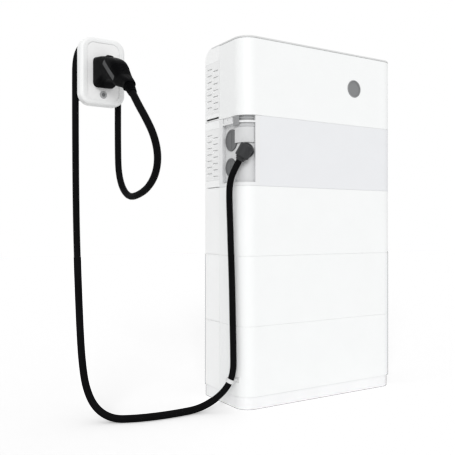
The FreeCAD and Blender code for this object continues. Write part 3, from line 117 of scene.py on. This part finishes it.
# Colour and roughness of every finish, then what differs from the usual values.
LOOKS = {
    "white_cover": ((0.914, 0.924, 0.923), 0.42, {"tint": 0.012}),
    "charger_cover": ((0.819, 0.828, 0.846), 0.42, {"tint": 0.012}),
    "casing": ((0.955, 0.96, 0.96), 0.5, {"grain": 700, "depth": 0.00006, "tint": 0.015}),
    "grille": ((0.89, 0.895, 0.895), 0.5, {"grain": 700, "depth": 0.00006}),
    "plinth": ((0.92, 0.925, 0.93), 0.5, {"grain": 700, "depth": 0.00006}),
    "bay_panel": ((0.69, 0.695, 0.70), 0.55, {"grain": 1400, "depth": 0.00008, "specular": 0.3}),
    "cap_grey": ((0.155, 0.158, 0.162), 0.5, {"grain": 1500, "depth": 0.00008, "specular": 0.25}),
    "pale_plastic": ((0.84, 0.845, 0.85), 0.45, {"grain": 1200, "specular": 0.3}),
    "outlet": ((0.035, 0.036, 0.038), 0.5, {"grain": 1500, "depth": 0.0001, "specular": 0.2}),
    "cable": ((0.0055, 0.0055, 0.006), 0.6,
              {"grain": 1100, "depth": 0.00012, "tint": 0.3, "specular": 0.02}),
    "gun_black": ((0.0015, 0.0015, 0.002), 0.5,
                  {"grain": 1600, "depth": 0.0001, "tint": 0.2, "specular": 0.02}),
    # gun_inlay: the lighter grey of the strips on the gun's flanks is a painted highlight along the upper
    # edge of the handle; the thumb ribs take the same grey.
    "gun_inlay": ((0.062, 0.063, 0.065), 0.55, {"grain": 1000, "depth": 0.0002, "specular": 0.12}),
    "contact": ((0.78, 0.76, 0.70), 0.25, {"metallic": 1.0}),
    "button": ((0.22, 0.225, 0.23), 0.38, {"grain": 1500}),
    "inner_plastic": ((0.03, 0.03, 0.032), 0.5, {"grain": 1500, "depth": 0.0001, "specular": 0.25}),
    # seal: grey of the strip in the joint above the bay, a painted shade where the joint lies in shadow.
    "seal": ((0.42, 0.425, 0.43), 0.7, {"grain": 1500, "depth": 0.0001, "specular": 0.1}),
    # Grey of the band along the hood's top, a painted shade under the cover's rim.
    "rim_shade_grey": ((0.56, 0.565, 0.57), 0.6, {"grain": 1500, "depth": 0.0001, "specular": 0.15}),
    "lid_grey": ((0.69, 0.695, 0.695), 0.42, {}),
    "dock_white": ((0.885, 0.89, 0.89), 0.4, {"grain": 1200}),
    "dock_pale": ((0.92, 0.92, 0.92), 0.5, {"grain": 1200, "specular": 0.2}),
    "dock_grey": ((0.40, 0.405, 0.41), 0.4, {"grain": 1500}),
    "bezel_grey": ((0.30, 0.305, 0.31), 0.35, {"grain": 1500}),
    "lock_grey": ((0.33, 0.335, 0.34), 0.6, {"grain": 1500, "depth": 0.0001, "specular": 0.15}),
    "filter": ((0.92, 0.925, 0.925), 0.9, {"grain": 2400, "depth": 0.0003, "specular": 0.0}),
    "pack": ((0.20, 0.21, 0.23), 0.5, {}),
    "aluminium": ((0.72, 0.73, 0.75), 0.35, {"grain": 500, "metallic": 1.0, "stretch": (0.02, 1, 1)}),
    "steel": ((0.62, 0.63, 0.65), 0.35, {"grain": 600, "metallic": 1.0}),
    "board": ((0.03, 0.16, 0.08), 0.4, {"grain": 300, "depth": 0.0003}),
}
FINISHES = {name: finish(name, color, roughness, **rest) for name, (color, roughness, rest) in LOOKS.items()}

# Pieces whose look differs from the rest of their slot.
OWN_LOOK = {"inverter_lid": "lid_grey", "dock_shell": "dock_white", "dock_face": "dock_pale",
            "dock_button": "dock_grey", "button_bezel": "bezel_grey", "cable_clip": "lid_grey"}

# Left of this edge along X, the charger's cover loses the blue of its front, and its grey there is darker
# than white as painted shade on the left side and corner.
SHADE_EDGE = -0.309
SHADE_GREY = (0.82, 0.825, 0.83, 1)
BLEND = 0.0005


def paint_shade_left(material, edge, color):
    """Mixes in another colour to the left of an edge along X."""
    tree = material.node_tree
    shader = tree.nodes["Principled BSDF"]
    plain = shader.inputs["Base Color"].links[0].from_socket
    coords = tree.nodes.new("ShaderNodeTexCoord")
    parts = tree.nodes.new("ShaderNodeSeparateXYZ")
    link(tree, coords, "Object", parts, "Vector")
    side = tree.nodes.new("ShaderNodeMapRange")
    side.inputs["From Min"].default_value = edge - BLEND
    side.inputs["From Max"].default_value = edge + BLEND
    link(tree, parts, "X", side, "Value")
    mix = tree.nodes.new("ShaderNodeMixRGB")
    link(tree, side, "Result", mix, "Fac")
    mix.inputs["Color1"].default_value = color
    tree.links.new(plain, mix.inputs["Color2"])
    link(tree, mix, "Color", shader, "Base Color")


def paint(item, look):
    item.data.materials.clear()
    item.data.materials.append(FINISHES[look])


# Painted shade: the charger cover's left side and corner take a darker grey without blue.
paint_shade_left(FINISHES["charger_cover"], SHADE_EDGE, SHADE_GREY)
for part in frame["record"]["subparts"]:
    paint(nodes[part["node"]], OWN_LOOK.get(part["node"], part["material_slot"]))


# Mesh building.
def piece(name, form, look, body=BODY):
    """Turns a finished form into a piece that rides on a body and takes a finish."""
    mesh = bpy.data.meshes.new(name)
    form.to_mesh(mesh)
    form.free()
    item = bpy.data.objects.new(name, mesh)
    bpy.context.scene.collection.objects.link(item)
    paint(item, look)
    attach(item, body)


def join_rings(form, rings, closed=False):
    """Faces between loops of as many points each. A closed row has no end faces."""
    pairs = list(zip(rings, rings[1:]))
    if closed:
        pairs.append((rings[-1], rings[0]))
    for low, high in pairs:
        for step in range(len(low)):
            after = (step + 1) % len(low)
            form.faces.new((low[step], low[after], high[after], high[step]))
    if not closed:
        form.faces.new(list(reversed(rings[0])))
        form.faces.new(rings[-1])


def turn_outward(form):
    bmesh.ops.recalc_face_normals(form, faces=form.faces)


def hexed(angle):
    """How far a hexagon of unit width reaches at an angle."""
    sector = math.radians(60)
    return math.cos(sector / 2) / math.cos(angle % sector - sector / 2)


def turned(name, profile, places, axis, look, body=BODY, segments=36, closed=False):
    """Turned forms at several places. The profile gives radius, height on the axis, and h for a hexagon."""
    axis = Vector(axis).normalized()
    across = axis.orthogonal().normalized()
    other = axis.cross(across)
    form = bmesh.new()
    for place in places:
        rings = []
        for radius, height, *kind in profile:
            ring = []
            for step in range(segments):
                angle = 2 * math.pi * step / segments
                reach = radius * (hexed(angle) if kind else 1)
                point = Vector(place) + axis * height + across * (reach * math.cos(angle))
                ring.append(form.verts.new(point + other * (reach * math.sin(angle))))
            rings.append(ring)
        join_rings(form, rings, closed)
    for face in form.faces:
        face.smooth = len(face.verts) == 4
    piece(name, form, look, body)


def ring_profile(inner, outer, low, high, ease):
    """The section of a ring with eased upper edges, for turned() with closed set."""
    return [(inner, low), (outer, low), (outer, high - ease), (outer - ease, high), (inner + ease, high),
            (inner, high - ease)]


def folded(name, outline, low, high, shift, look):
    """A folded sheet: an outline of x and y, drawn from low to high and thickened by a shift in x and y."""
    form = bmesh.new()
    front_low, front_high, back_low, back_high = [
        [form.verts.new((x + move_x, y + move_y, z)) for x, y in outline]
        for move_x, move_y in ((0, 0), shift) for z in (low, high)]
    for step in range(len(outline) - 1):
        after = step + 1
        form.faces.new((front_low[step], front_low[after], front_high[after], front_high[step]))
        form.faces.new((back_low[step], back_high[step], back_high[after], back_low[after]))
        form.faces.new((front_low[step], back_low[step], back_low[after], front_low[after]))
        form.faces.new((front_high[step], front_high[after], back_high[after], back_high[step]))
    for end in (0, -1):
        form.faces.new((front_low[end], front_high[end], back_high[end], back_low[end]))
    turn_outward(form)
    piece(name, form, look)


def round_corner(name, section, path, look):
    """Sweeps a section of reach and height along a path of middles and angles, round the tower's corners."""
    form = bmesh.new()
    rings = []
    for middle, angle in path:
        out = Vector((-math.cos(angle), -math.sin(angle), 0))
        rings.append([form.verts.new(middle + out * reach + Vector((0, 0, height)))
                      for reach, height in section])
    join_rings(form, rings)
    turn_outward(form)
    piece(name, form, look)


def rounded(half_x, half_y, corner, steps=6):
    """A rounded rectangle round the origin."""
    points = []
    for turn, (sx, sy) in enumerate(((1, 1), (-1, 1), (-1, -1), (1, -1))):
        for step in range(steps + 1):
            angle = math.radians(90 * (turn + step / steps))
            points.append((sx * (half_x - corner) + corner * math.cos(angle),
                           sy * (half_y - corner) + corner * math.sin(angle)))
    return points


def stacked(name, loops, middle, look, body=BODY, closed=False):
    """Joins rounded rectangles, each given by half its sizes, its corner radius and its height."""
    form = bmesh.new()
    rings = [[form.verts.new(middle + Vector((x, y, height))) for x, y in rounded(half_x, half_y, corner)]
             for half_x, half_y, corner, height in loops]
    join_rings(form, rings, closed)
    turn_outward(form)
    piece(name, form, look, body)


WELD = 0.00002


def chains_of(near):
    """Walks a table of neighbours and gives the chains of more than three vertices, as points."""
    chains = []
    seen = set()
    for first in sorted(near, key=lambda vert: (len(near[vert]), round(vert.co.y, 6), round(vert.co.z, 6))):
        chain = []
        following = [] if first in seen else [first]
        while following:
            chain.append(following[0])
            seen.add(following[0])
            following = [other for other in near[chain[-1]] if other not in seen]
        if len(chain) > 3:
            chains.append([vert.co.copy() for vert in chain])
    return chains


def outline_of(node, place, normal, keep):
    """The lines in which a plane meets a piece, each as a chain of points that are worth keeping."""
    form = bmesh.new()
    form.from_mesh(node.data)
    form.transform(node.matrix_world)
    bmesh.ops.remove_doubles(form, verts=form.verts, dist=WELD)
    bmesh.ops.bisect_plane(form, geom=form.verts[:] + form.edges[:] + form.faces[:], plane_co=place,
                           plane_no=normal, clear_inner=True, clear_outer=True)
    near = {}
    for edge in form.edges:
        first, second = edge.verts
        if keep(first.co) and keep(second.co):
            near.setdefault(first, []).append(second)
            near.setdefault(second, []).append(first)
    chains = chains_of(near)
    form.free()
    return chains


def thread(name, chains, normal, radius, look, sides=6):
    """Thin raised lines along chains of points that lie in a plane."""
    angles = [2 * math.pi * side / sides for side in range(sides)]
    form = bmesh.new()
    for chain in chains:
        rings = []
        for index, point in enumerate(chain):
            along = chain[min(index + 1, len(chain) - 1)] - chain[max(index - 1, 0)]
            out = along.cross(normal).normalized()
            rings.append([form.verts.new(point + out * (radius * math.cos(angle))
                                         + normal * (radius * math.sin(angle))) for angle in angles])
        join_rings(form, rings)
    turn_outward(form)
    piece(name, form, look)


# Heights of the joints from the plinth up, and of the lower end of the inverter's rounded rear edge.
LEVELS = (0.046, 0.306, 0.566, 0.826, 1.087, 1.330)
CHARGER_FOOT, INVERTER_FOOT = LEVELS[3:5]
LEFTWARD = (-1, 0, 0)
FRONTWARD = (0, -1, 0)
REARWARD = (0, 1, 0)

# Pleated filters behind the grilles.
PLEATS = 24
FILTER_FRONT = 0.0288
FILTER_LENGTH = 0.0968
FILTER_LOW = 0.0338
FILTER_HIGH = 0.2262
for unit, foot in (("charger", CHARGER_FOOT), ("inverter", INVERTER_FOOT)):
    for label, outer, inner in (("left", -0.3817, -0.3795), ("right", 0.3807, 0.3785)):
        folds = [((outer, inner)[step % 2], FILTER_FRONT + FILTER_LENGTH * step / PLEATS)
                 for step in range(PLEATS + 1)]
        folded("%s_filter_%s" % (unit, label), folds, foot + FILTER_LOW, foot + FILTER_HIGH, (0.0006, 0),
               "filter")

# Screws in the bay, and the rings round its two caps.
SCREW = [(0.0034, -0.0005), (0.0034, 0.0010), (0.0029, 0.0018), (0.0020, 0.0021), (0.0017, 0.0020, "h"),
         (0.0015, 0.0006, "h")]
BAY_WALL = -0.371
turned("bay_screws", SCREW, [(BAY_WALL, y, z) for y in (-0.006, -0.078) for z in (0.8485, 1.0515)], LEFTWARD,
       "steel", segments=24)
for label, y, z, radius in (("upper", -0.0435, 1.001, 0.040), ("lower", -0.0375, 0.899, 0.034)):
    turned(label + "_cap_seal", ring_profile(radius - 0.001, radius + 0.0012, -0.0004, 0.0014, 0.0005),
           [(BAY_WALL, y, z)], LEFTWARD, "outlet", segments=64, closed=True)

# Middles of the front corners, and paths round them with angles in degrees that start on the left side.
CORNER = Vector((-0.327, -0.082, 0))
RIGHT_CORNER = Vector((0.327, CORNER.y, 0))


def at(x, y, degrees):
    return Vector((x, y, 0)), math.radians(degrees)


def arc(first, last, middle=CORNER, steps=12):
    return [at(middle.x, middle.y, first + (last - first) * step / steps) for step in range(steps + 1)]


# Pale foam strips in the joints between the front covers. The uppermost starts beside the bay.
COVER_END = 0.0236
JOINT_STRIP = [(0.0553, -0.00055), (0.0571, -0.00055), (0.0575, -0.0002), (0.0575, 0.0002),
               (0.0571, 0.00055), (0.0553, 0.00055)]
around_left = [at(CORNER.x, COVER_END, 0)] + arc(0, 90)
around_right = arc(90, 180, RIGHT_CORNER) + [at(RIGHT_CORNER.x, COVER_END, 180)]
for number, level in enumerate(LEVELS[1:5], 1):
    start = [at(-0.300, CORNER.y, 90)] if level == INVERTER_FOOT else around_left
    round_corner("joint_strip_%d" % number, [(reach, level + height) for reach, height in JOINT_STRIP],
                 start + around_right, "white_cover")


def bay_path(rear, front):
    """From a place on the left side, round the left corner to a place on the front."""
    return [at(CORNER.x, rear, 0)] + arc(0, 90) + [at(front, CORNER.y, 90)]


# The lipped grey strip in the joint above the bay, a dark sheet that stands as painted shade where the joint
# lies in shadow, and the tab that locks the cover's strip under it.
round_corner("joint_shade_strip", [
    (0.0444, 1.0672), (0.0455, 1.0675), (0.0462, 1.0740), (0.0480, 1.0758), (0.0480, 1.0800),
    (0.0462, 1.0818), (0.0455, 1.0866), (0.0444, 1.0868),
], bay_path(-0.058, -0.334), "seal")
round_corner("lock_tab", [
    (0.0482, 1.0676), (0.0581, 1.0676), (0.0581, 1.0500), (0.0590, 1.0502), (0.0597, 1.0512),
    (0.0600, 1.0560), (0.0600, 1.0820), (0.0592, 1.0842), (0.0584, 1.0850), (0.0575, 1.0850),
    (0.0572, 1.0700), (0.0482, 1.0700),
], [at(CORNER.x, -0.078, 0)] + arc(0, 26), "lock_grey")

# The hood over the terminals above the outlet hangs at the top of the bay and passes in front of the upper
# cap. The grey band along its top is painted shade under the cover's rim.
HOOD_FRONT = -0.3315
round_corner("terminal_hood", [
    (0.0442, 1.0566), (0.0484, 1.0566), (0.0488, 1.0560), (0.0488, 0.9875), (0.0494, 0.9870),
    (0.0500, 0.9875), (0.0502, 1.0566), (0.0496, 1.0582), (0.0442, 1.0584),
], bay_path(-0.0735, HOOD_FRONT), "bay_panel")
round_corner("hood_shade_band", [
    (0.0501, 1.0455), (0.0512, 1.0450), (0.0522, 1.0462), (0.0525, 1.0500), (0.0525, 1.0535),
    (0.0521, 1.0562), (0.0510, 1.0574), (0.0501, 1.0570),
], bay_path(-0.0745, HOOD_FRONT), "rim_shade_grey")

# The edge trim between the cover's cut edge and the wall of the bay, with a folded heel.
TRIM = [(-0.3818, 0.0040), (-0.3800, 0.0034), (-0.3740, 0.0034), (-0.3716, 0.0046), (-0.3712, 0.0080)]
TRIM_LOW = 0.8402
TRIM_HIGH = 1.0668
folded("bay_trim", TRIM, TRIM_LOW, TRIM_HIGH, (0, 0.0012), "bay_panel")

# Nut and ring of the cable gland, in the direction in which the cable leaves the outlet.
GLAND = Vector((-0.37071, -0.13409, 0.956))
GLAND_DOWN = Vector((-0.34261, 0.36277, -0.86661))
GLAND_NUT = [(0.0178, 0.0290, "h"), (0.0205, 0.0300, "h"), (0.0205, 0.0350, "h"), (0.0185, 0.0362, "h")]
turned("gland_nut", GLAND_NUT, [GLAND], GLAND_DOWN, "outlet", segments=72)
turned("gland_ring", ring_profile(0.0120, 0.0166, 0.0385, 0.0420, 0.0012), [GLAND], GLAND_DOWN, "outlet",
       segments=48, closed=True)

# Screws on the rear sheets of every unit, clear of the rounded top edge.
REAR = 0.140
REAR_MARGIN = 0.022
rear_heights = []
for foot, top in zip(LEVELS, LEVELS[1:]):
    rear_heights += [foot + REAR_MARGIN, top - REAR_MARGIN]
turned("rear_screws", SCREW, [(x, REAR, z) for x in (-0.362, 0.0, 0.362) for z in rear_heights], REARWARD,
       "steel", segments=24)

# The gun: a collar round the thumb button, and ribs that ride on it.
GUN_X = -0.845
THUMB = Vector((GUN_X, 0.007, 1.265))
stacked("thumb_collar", [
    (0.0087, 0.0137, 0.0006, -0.0130), (0.0087, 0.0137, 0.0006, -0.0032), (0.0095, 0.0147, 0.0012, -0.0026),
    (0.0108, 0.0185, 0.0050, -0.0030), (0.0130, 0.0240, 0.0060, -0.0058), (0.0130, 0.0240, 0.0060, -0.0130),
], THUMB, "gun_black", closed=True)
THUMB_RIB = [(0.0058, 0.0010, 0.0009, -0.0006), (0.0055, 0.0007, 0.0006, 0.0005),
             (0.0050, 0.0003, 0.0002, 0.0008)]
for number, place in ((1, -0.006), (7, 0.0), (13, 0.006)):
    stacked("thumb_rib_%d" % number, THUMB_RIB, THUMB + Vector((0, place, 0)), "gun_inlay",
            "gun_thumb_button")

# The parting line of the gun's halves. Its plane passes beside the row of vertices in the middle.
ACROSS = Vector((1, 0, 0))
PARTING = Vector((GUN_X + 0.00013, 0, 0))
PARTING_END = -0.02
PARTING_RADIUS = 0.0004
bpy.context.view_layer.update()
parting = outline_of(nodes["gun_shell"], PARTING, ACROSS, lambda point: point.y < PARTING_END)
thread("gun_parting_line", parting, ACROSS, PARTING_RADIUS, "gun_black")

# Grip ribs over the handle, square to its length.
HANDLE = Vector((0, -0.054, -0.042)).normalized()
HANDLE_TOP = Vector((GUN_X, -0.090, 1.184))
OVER = HANDLE.cross(ACROSS)
GRIP_RIBS = 7
GRIP_PITCH = 0.0085
GRIP_SIDE = 0.004
GRIP_RADIUS = 0.0009
grips = []
for step in range(GRIP_RIBS):
    middle = HANDLE_TOP + HANDLE * (GRIP_PITCH * step)
    grips += outline_of(nodes["gun_shell"], middle, HANDLE,
                        lambda point: (point - middle).dot(OVER) > GRIP_SIDE)
thread("gun_grip_ribs", grips, HANDLE, GRIP_RADIUS, "gun_black")

# The dark dished lens in the release button of the dock.
LENS = [(0.0066, -0.0004), (0.0066, 0.0006), (0.0058, 0.0009), (0.0030, 0.0004)]
turned("dock_button_lens", LENS, [(GUN_X, 0.0495, 1.138)], FRONTWARD, "cap_grey", "dock_button")


# The charge cable from the outlet to the gun, in metres, with the same control points as its solid.
ROUTE = [
    (-0.38578, -0.11813, 0.91787), (-0.40291, -0.09999, 0.87454), (-0.409, -0.086, 0.828),
    (-0.407, -0.083, 0.768), (-0.405, -0.085, 0.690), (-0.4045, -0.089, 0.600), (-0.404, -0.096, 0.480),
    (-0.404, -0.101, 0.345), (-0.404, -0.105, 0.225), (-0.404, -0.107, 0.137), (-0.427, -0.096, 0.082),
    (-0.469, -0.076, 0.040), (-0.524, -0.060, 0.014), (-0.600, -0.062, 0.012), (-0.690, -0.058, 0.012),
    (-0.770, -0.041, 0.012), (-0.835, -0.008, 0.012), (-0.881, 0.033, 0.045), (-0.903, 0.068, 0.111),
    (-0.909, 0.090, 0.200), (-0.912, 0.101, 0.300), (-0.915, 0.1075, 0.420), (-0.919, 0.111, 0.560),
    (-0.922, 0.1123, 0.690), (-0.924, 0.1128, 0.840), (-0.925, 0.113, 1.000), (-0.9253, 0.113, 1.150),
    (-0.925, 0.113, 1.290), (-0.8781, 0.113, 1.337), (-0.8119, 0.113, 1.337), (-0.765, 0.113, 1.290),
    (-0.7652, 0.1132, 1.170), (-0.7656, 0.1133, 1.060), (-0.7653, 0.1132, 0.960), (-0.7635, 0.113, 0.873),
    (-0.762, 0.079, 0.812), (-0.761, 0.018, 0.779), (-0.761, -0.057, 0.783), (-0.762, -0.140, 0.803),
    (-0.767, -0.211, 0.843), (-0.779, -0.255, 0.897), (-0.799, -0.269, 0.957), (-0.826, -0.266, 1.011),
    (-0.845, -0.2418, 1.0614), (-0.845, -0.204, 1.100),
]
CABLE_DIAMETER = 0.024
CABLE_STEPS = 8
CABLE_ROUNDNESS = 6


def make_cable():
    curve = bpy.data.curves.new("charge_cable_line", "CURVE")
    curve.dimensions = "3D"
    spline = curve.splines.new("NURBS")
    spline.points.add(len(ROUTE) - 1)
    for point, place in zip(spline.points, ROUTE):
        point.co = (*place, 1)
    spline.order_u = 3
    spline.use_endpoint_u = True
    spline.resolution_u = CABLE_STEPS
    curve.resolution_u = CABLE_STEPS
    curve.bevel_depth = CABLE_DIAMETER / 2
    curve.bevel_resolution = CABLE_ROUNDNESS
    curve.use_fill_caps = True
    item = bpy.data.objects.new("charge_cable_jacket", curve)
    bpy.context.scene.collection.objects.link(item)
    curve.materials.append(FINISHES["cable"])
    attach(item, BODY)
    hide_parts("charge_cable")


make_cable()


# Camera, light and floor.
CAMERA_PLACE = (-1.660, -2.090, 0.672)
CAMERA_TURN = -31.81
CAMERA_LENS = 50.65
WORLD_LIGHT = 0.715
SUN_TRAVEL = (0.545, 0.725, -0.423)
SUN_STRENGTH = 1.22
SUN_ANGLE = 25
FLOOR_REACH = 12


def make_camera():
    data = bpy.data.cameras.new("camera")
    data.sensor_width = 36
    data.lens = CAMERA_LENS
    item = bpy.data.objects.new("camera", data)
    item.location = CAMERA_PLACE
    item.rotation_euler = (math.radians(90), 0, math.radians(CAMERA_TURN))
    bpy.context.scene.collection.objects.link(item)
    bpy.context.scene.camera = item


def make_world():
    """White where it is seen, and a softer white where it lights the object."""
    world = bpy.data.worlds.new("studio")
    bpy.context.scene.world = world
    world.use_nodes = True
    tree = world.node_tree
    tree.nodes.clear()
    out = tree.nodes.new("ShaderNodeOutputWorld")
    path = tree.nodes.new("ShaderNodeLightPath")
    first, second = [tree.nodes.new("ShaderNodeMath") for _ in range(2)]
    for node in (first, second):
        node.operation = "MAXIMUM"
    link(tree, path, "Is Camera Ray", first, 0)
    link(tree, path, "Is Glossy Ray", first, 1)
    link(tree, first, "Value", second, 0)
    link(tree, path, "Is Transmission Ray", second, 1)
    light, seen = [tree.nodes.new("ShaderNodeBackground") for _ in range(2)]
    light.inputs["Strength"].default_value = WORLD_LIGHT
    for node in (light, seen):
        node.inputs["Color"].default_value = (1, 1, 1, 1)
    mix = tree.nodes.new("ShaderNodeMixShader")
    link(tree, second, "Value", mix, 0)
    link(tree, light, "Background", mix, 1)
    link(tree, seen, "Background", mix, 2)
    link(tree, mix, "Shader", out, "Surface")


def make_sun():
    data = bpy.data.lights.new("key", "SUN")
    data.energy = SUN_STRENGTH
    data.angle = math.radians(SUN_ANGLE)
    item = bpy.data.objects.new("key", data)
    item.rotation_euler = Vector(SUN_TRAVEL).to_track_quat("-Z", "Y").to_euler()
    bpy.context.scene.collection.objects.link(item)


def make_floor():
    mesh = bpy.data.meshes.new("floor")
    corners = [(x * FLOOR_REACH, y * FLOOR_REACH, 0) for x, y in ((-1, -1), (1, -1), (1, 1), (-1, 1))]
    mesh.from_pydata(corners, [], [(0, 1, 2, 3)])
    item = bpy.data.objects.new("floor", mesh)
    bpy.context.scene.collection.objects.link(item)
    mesh.materials.append(finish("floor", (0.9, 0.9, 0.9), 0.9, grain=60, depth=0.0001, specular=0.0))
    item.is_shadow_catcher = True


make_camera()
make_world()
make_sun()
make_floor()
bpy.context.scene.view_settings.view_transform = "Standard"
